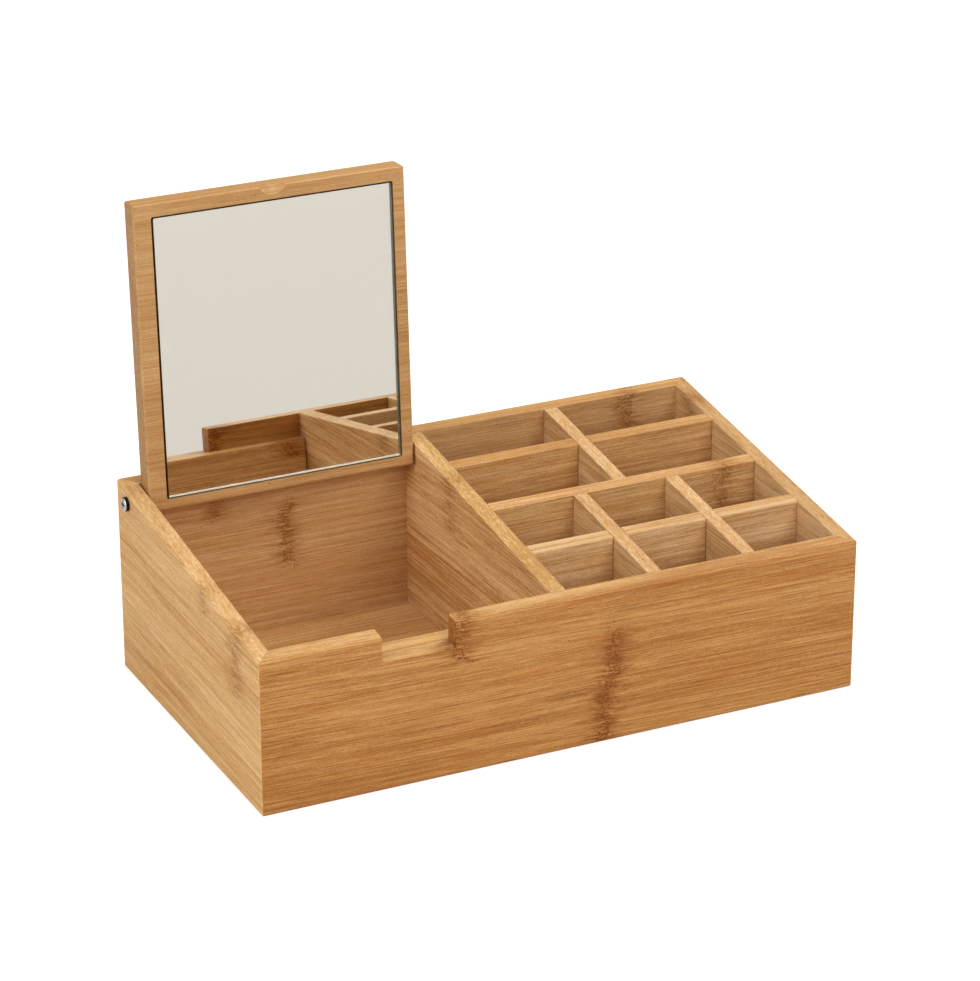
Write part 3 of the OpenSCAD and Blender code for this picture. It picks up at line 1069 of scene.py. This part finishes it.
@dataclass
class TapeStrips:
    """The strips of tape behind the glass, set out along a line by geometry nodes."""

    nodes: tuple[str, ...] = ("mirror_tape_left", "mirror_tape_middle", "mirror_tape_right")
    # The strips stand this far behind the silver, so that the two faces don't lie in one.
    behind: float = 0.03 * MM
    piece: bpy.types.Object | None = field(default=None, repr=False)

    def build(self, frame: dict, own: BodyFrame, tape: bpy.types.Material) -> bpy.types.Object:
        """Makes the strips from one strip's size and their spacing.

        Args:
            own: the lid's straight frame.
            tape: the tape's material.

        Returns:
            The finished piece, with all the strips in one mesh.
        """
        reaches = [own.reach([v.co for v in frame["nodes"][node].data.vertices]) for node in self.nodes]
        low, high = reaches[0]
        low.y += self.behind
        values = {
            "Count": len(reaches),
            "Start": (low + high) / 2,
            "Spacing": (reaches[-1][1] - high) / (len(reaches) - 1),
            "Size": high - low,
        }
        self.piece = new_piece(bmesh.new(), "mirror_tape")
        modifier = self.piece.modifiers.new("strips", "NODES")
        modifier.node_group = self._group(tape)
        for item in modifier.node_group.interface.items_tree:
            if item.name in values:
                modifier[item.identifier] = values[item.name]
        bake(self.piece)
        for vertex in self.piece.data.vertices:
            vertex.co = own.outward(vertex.co)
        return self.piece

    def dress(self) -> None:
        """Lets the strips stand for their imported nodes."""
        stand_in(self.piece, Body.LID, Slot.TAPE, *self.nodes)

    def _group(self, tape: bpy.types.Material) -> Tree:
        """Builds the geometry nodes: a line of points with a strip on each.

        Args:
            tape: the tape's material.

        Returns:
            The node group.
        """
        tree = bpy.data.node_groups.new("Tape strips", "GeometryNodeTree")
        tree.interface.new_socket("Count", in_out="INPUT", socket_type="NodeSocketInt")
        for name in ("Start", "Spacing", "Size"):
            tree.interface.new_socket(name, in_out="INPUT", socket_type="NodeSocketVector")
        tree.interface.new_socket("Geometry", in_out="OUTPUT", socket_type="NodeSocketGeometry")
        given = add(tree, "NodeGroupInput").outputs
        places = {"Count": given["Count"], "Start Location": given["Start"], "Offset": given["Spacing"]}
        line = add(tree, "GeometryNodeMeshLine", places, mode="OFFSET")
        strip = add(tree, "GeometryNodeMeshCube", {"Size": given["Size"]})
        strips = {"Points": line.outputs[0], "Instance": strip.outputs[0]}
        spread = add(tree, "GeometryNodeInstanceOnPoints", strips)
        real = add(tree, "GeometryNodeRealizeInstances", {0: spread.outputs[0]})
        painted = add(tree, "GeometryNodeSetMaterial", {"Geometry": real.outputs[0], "Material": tape})
        add(tree, "NodeGroupOutput", {0: painted.outputs[0]})
        return tree


@dataclass
class HingeScrew:
    """A pan-head screw that the lid turns on: a bright face, and a flank painted dark as shade."""

    node: str
    # A face is part of the flank when it points along the screw by less than this.
    flank: float = 0.35
    # The sharpest corner, in degrees, that is shaded smooth.
    shaded: float = 35.0
    piece: bpy.types.Object | None = field(default=None, repr=False)

    def build(self, frame: dict) -> bpy.types.Object:
        """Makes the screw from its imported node.


        Returns:
            The finished piece.
        """
        shell = packed_shell(frame, self.node, SCREW_WELD)
        for face in shell.faces:
            # The flank's faces get the second material, which is painted shade.
            face.material_index = 1 if abs(face.normal.x) < self.flank else 0
        self.piece = new_piece(shell, f"{self.node}_steel")
        return self.piece

    def dress(self, bright: bpy.types.Material, dark: bpy.types.Material) -> None:
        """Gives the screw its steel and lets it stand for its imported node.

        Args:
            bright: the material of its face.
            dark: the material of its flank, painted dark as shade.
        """
        self.piece.data.materials.append(bright)
        self.piece.data.materials.append(dark)
        smooth(self.piece, self.shaded)
        stand_in(self.piece, Body.LID, Slot.STEEL, self.node)


@dataclass
class FixedBoards:
    """Boards that are glued together and don't move."""

    boards: list[Board] = field(default_factory=list)

    def build(self, frame: dict, own: BodyFrame, bamboo: bpy.types.Material, seed: int) -> int:
        """Builds and dresses the boards in order.

        Args:
            own: the straight frame of the boards' body.
            bamboo: the bamboo's material.
            seed: the first board's seed.

        Returns:
            The seed for the next board.
        """
        for number, board in enumerate(self.boards, seed):
            board.build(frame, own, number)
            board.dress(bamboo)
        return seed + len(self.boards)


# The face of a mitre points half way between two sides of the box.
DIAGONAL = math.sqrt(0.5)
MITRES = tuple((x * DIAGONAL, y * DIAGONAL, 0.0) for x in (1, -1) for y in (1, -1))


@dataclass
class BoxCase(FixedBoards):
    """The box's four walls, its bottom and the strip that the closed lid rests on."""

    boards: list[Board] = field(
        default_factory=lambda: [
            Board(
                "front_panel",
                grain=Axis.X,
                thin=Axis.Y,
                slot=Slot.BAMBOO,
                tint=(0.79, 0.615, 0.41),
                rim_tone_and_light=(1.03, 1.22, 1.6),
                knots=(Knot(0.0205, -0.01, 0.06, 1.0, lean=0.14), Knot(-0.0535, 0.054, 0.08, 0.9)),
                figure=(1.1, 1.2, 1.0),
                skew=0.02,
                glued=MITRES,
            ),
            Board(
                "rear_panel",
                grain=Axis.X,
                thin=Axis.Y,
                slot=Slot.BAMBOO,
                tint=(0.85, 0.82, 0.86),
                rim_tone_and_light=(0.93, 0.87, 0.72),
                knots=(
                    Knot(-0.068, 0.038, 0.075, 0.85),
                    Knot(-0.106, 0.068, 0.1, 0.7),
                    Knot(0.115, 0.06, 0.098, 0.9),
                ),
                figure=(0.7, 0.75, 0.7),
                glued=MITRES,
            ),
            Board(
                "left_panel",
                grain=Axis.Y,
                thin=Axis.X,
                slot=Slot.BAMBOO_LIGHT,
                tint=(1.13, 1.12, 1.04),
                rim_tone_and_light=(0.86, 0.885, 1.0),
                knots=(Knot(-0.0585, 0.045, 0.084, 0.7), Knot(-0.022, 0.07, 0.09, 0.45)),
                mottled=True,
                figure=(0.85, 0.9, 0.35),
                skew=-0.02,
                glued=MITRES,
            ),
            Board(
                "right_panel",
                grain=Axis.Y,
                thin=Axis.X,
                slot=Slot.BAMBOO_LIGHT,
                tint=(0.97, 1.01, 1.17),
                rim_tone_and_light=(0.77, 0.70, 0.58),
                knots=(Knot(0.064, 0.068, 0.096, 0.8),),
                figure=(0.8, 0.8, 0.5),
                glued=MITRES,
            ),
            Board(
                "bottom_panel",
                grain=Axis.X,
                thin=Axis.Z,
                slot=Slot.BAMBOO,
                tint=(1.01, 0.98, 0.99),
                soft=0.2 * MM,
            ),
            Board(
                "lid_rest_strip",
                grain=Axis.X,
                thin=Axis.Y,
                slot=Slot.BAMBOO_LIGHT,
                tint=(1.2, 1.3, 1.5),
                rim_tone_and_light=(0.72, 0.62, 0.465),
                knots=(Knot(-0.0145, 0.0555, 0.066, 0.9),),
                end_gap=0.6 * MM,
                glued=((0.0, -1.0, 0.0),),
            ),
        ]
    )


@dataclass
class Dividers(FixedBoards):
    """The partition beside the lidded compartment and the dividers that make the cells."""

    boards: list[Board] = field(
        default_factory=lambda: [
            Board(
                "partition",
                grain=Axis.Y,
                thin=Axis.X,
                slot=Slot.BAMBOO_LIGHT,
                tint=(1.0, 1.0, 1.07),
                rim_tone_and_light=(0.91, 0.92, 0.79),
                knots=(Knot(0.030, 0.062, 0.095, 0.5),),
                mottled=True,
                figure=(1.4, 1.4, 0.7),
                skew=0.02,
            ),
            Board(
                "cross_divider_rear",
                grain=Axis.X,
                thin=Axis.Y,
                slot=Slot.BAMBOO_LIGHT,
                tint=(0.94, 0.88, 0.87),
                rim_tone_and_light=(0.82, 0.76, 0.64),
            ),
            Board(
                "cross_divider_middle",
                grain=Axis.X,
                thin=Axis.Y,
                slot=Slot.BAMBOO_LIGHT,
                tint=(0.93, 0.905, 0.92),
                knots=(Knot(0.124, 0.055, 0.09, 0.8),),
            ),
            Board(
                "cross_divider_front",
                grain=Axis.X,
                thin=Axis.Y,
                slot=Slot.BAMBOO_LIGHT,
                tint=(1.05, 1.08, 1.22),
                rim_tone_and_light=(0.8, 0.76, 0.69),
            ),
            *(
                Board(
                    name,
                    grain=Axis.Y,
                    thin=Axis.X,
                    slot=Slot.BAMBOO,
                    tint=(0.925, 0.94, 1.02),
                    mottled=True,
                )
                for name in ("long_divider_rear", "long_divider_front_left", "long_divider_front_right")
            ),
        ]
    )


@dataclass
class Lid:
    """The lid with its mirror, the tape behind it and the two screws that it turns on."""

    board: Board = field(
        default_factory=lambda: Board(
            "lid_board",
            grain=Axis.X,
            thin=Axis.Y,
            slot=Slot.BAMBOO,
            body=Body.LID,
            tint=(0.785, 0.74, 0.70),
            figure=(0.65, 0.65, 0.5),
            soft=0.7 * MM,
            # The thumb scoop, in the middle of the lid's free edge.
            pale_cut=PaleCut((-72.3 * MM, -5.5 * MM, 143.0 * MM), 9.0 * MM),
        )
    )
    mirror: MirrorPlate = field(default_factory=MirrorPlate)
    tape: TapeStrips = field(default_factory=TapeStrips)
    screws: tuple[HingeScrew, ...] = field(
        default_factory=lambda: (HingeScrew("hinge_screw_left"), HingeScrew("hinge_screw_right"))
    )

    def own_frame(self, frame: dict) -> BodyFrame:
        """Finds the lid's straight frame: the hinge's place, and the lean of the mirror's face.


        Returns:
            The lid's straight frame.
        """
        hinge = Vector(frame["joints"][0]["pos_m"])
        face = max(frame["nodes"][self.mirror.node].data.polygons, key=lambda p: p.area)
        normal = face.normal if face.normal.y < 0 else -face.normal
        lean = math.atan2(normal.z, -normal.y)
        return BodyFrame(hinge, Matrix.Rotation(-lean, 3, "X"))

    def build(self, frame: dict, bamboo: bpy.types.Material, seed: int) -> None:
        """Builds and dresses the lid and all that it carries.

        Args:
            bamboo: the bamboo's material.
            seed: the lid board's seed.
        """
        own = self.own_frame(frame)
        self.board.build(frame, own, seed)
        self.board.dress(bamboo)
        self.mirror.build(frame, own)
        finishes = (GlassFinish(), GroundEdgeFinish(), SilverFinish())
        self.mirror.dress(*(finish.material() for finish in finishes))
        self.tape.build(frame, own, TapeFinish().material())
        self.tape.dress()
        # The screws' flanks get steel painted dark as shade.
        bright, dark = SteelFinish().material(), SHADED_FLANK_STEEL.material()
        for screw in self.screws:
            screw.build(frame)
            screw.dress(bright, dark)


@dataclass(frozen=True)
class Softbox:
    """A square lamp that points at the box: its place and size in metres, its power in watts."""

    name: str
    place: Triple
    size: float
    power: float
    colour: str = "#FFFFFF"

    def build(self, target: Vector) -> bpy.types.Object:
        """Hangs the lamp and points it.

        Args:
            target: what it points at.

        Returns:
            The lamp.
        """
        lamp = bpy.data.lights.new(self.name, "AREA")
        lamp.size = self.size
        lamp.energy = self.power
        lamp.color = linear(self.colour)[:3]
        hung = bpy.data.objects.new(self.name, lamp)
        hung.location = self.place
        hung.rotation_euler = (target - Vector(self.place)).to_track_quat("-Z", "Y").to_euler()
        bpy.context.scene.collection.objects.link(hung)
        return hung


@dataclass
class Studio:
    """The paper under the box, the lamps round it, the room's light and the camera.

    The camera's numbers come from a pinhole camera fitted to the box's corners. It aims at a point
    right of and above the box's middle, and its focal length is in pixels of the photograph.
    """

    focal_pixels: float = 3802.351
    camera_azimuth: float = -25.866
    camera_elevation: float = 23.136
    camera_distance: float = 1.799121
    aim_right: float = 1.936 * MM
    aim_up: float = 87.808 * MM
    sensor_width: float = 36.0
    nearest: float = 0.05
    farthest: float = 50.0
    # The paper is a square this far to each side, a hair below the box's foot.
    floor_half: float = 8.0
    floor_drop: float = 0.05 * MM
    room: str = "#F6F5F2"
    room_strength: float = 0.16
    lamps_aim: Triple = (0.0, 0.0, 0.08)
    lamps: tuple[Softbox, ...] = (
        Softbox("top_softbox", (-0.3, -0.1, 1.6), 2.0, 13.0),
        Softbox("left_softbox", (-1.7, -0.5, 0.9), 1.2, 18.0),
        Softbox("right_softbox", (1.2, 0.2, 1.5), 1.2, 22.0),
        Softbox("front_softbox", (0.4, -1.9, 1.2), 1.2, 24.0),
    )

    def build(self) -> None:
        """Sets up everything that isn't part of the object."""
        self._floor()
        self._world()
        for lamp in self.lamps:
            lamp.build(Vector(self.lamps_aim))
        self._camera()

    def _floor(self) -> None:
        """Lays the paper just under the box."""
        half = self.floor_half
        outline = [(-half, -half, 0), (half, -half, 0), (half, half, 0), (-half, half, 0)]
        mesh = bpy.data.meshes.new("floor")
        mesh.from_pydata(outline, [], [(0, 1, 2, 3)])
        mesh.materials.append(PaperFinish().material())
        floor = bpy.data.objects.new("floor", mesh)
        floor.location.z = -self.floor_drop
        bpy.context.scene.collection.objects.link(floor)

    def _world(self) -> None:
        """Fills the room with even light."""
        world = bpy.data.worlds.new("room")
        world.use_nodes = True
        world.node_tree.nodes.clear()
        even = {"Color": linear(self.room), "Strength": self.room_strength}
        light = add(world.node_tree, "ShaderNodeBackground", even)
        add(world.node_tree, "ShaderNodeOutputWorld", {"Surface": light.outputs[0]})
        bpy.context.scene.world = world

    def _camera(self) -> None:
        """Puts the camera where the photograph was taken from."""
        azimuth, elevation = math.radians(self.camera_azimuth), math.radians(self.camera_elevation)
        level = math.cos(elevation)
        back = Vector((math.sin(azimuth) * level, -math.cos(azimuth) * level, math.sin(elevation)))
        right = Vector((math.cos(azimuth), math.sin(azimuth), 0.0))
        up = back.cross(right)
        data = bpy.data.cameras.new("camera")
        data.sensor_width = self.sensor_width
        data.lens = self.focal_pixels * self.sensor_width / max(PHOTO_WIDTH, PHOTO_HEIGHT)
        data.clip_start = self.nearest
        data.clip_end = self.farthest
        camera = bpy.data.objects.new("camera", data)
        camera.location = right * self.aim_right + up * self.aim_up + back * self.camera_distance
        camera.rotation_euler = Matrix((right, up, back)).transposed().to_euler()
        bpy.context.scene.collection.objects.link(camera)
        bpy.context.scene.camera = camera
        bpy.context.scene.view_settings.view_transform = "Standard"


def main() -> None:
    """Builds the object and the studio in order."""
    logging.basicConfig(level=logging.INFO, format="%(name)s: %(message)s")
    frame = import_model()
    bamboo = BambooFinish().material()
    row = BodyFrame(Vector((0.0, 0.0, 0.0)), Matrix.Identity(3))
    seed = BoxCase().build(frame, row, bamboo, seed=1)
    seed = Dividers().build(frame, row, bamboo, seed)
    Lid().build(frame, bamboo, seed)
    Studio().build()


if __name__ == "__main__":
    main()
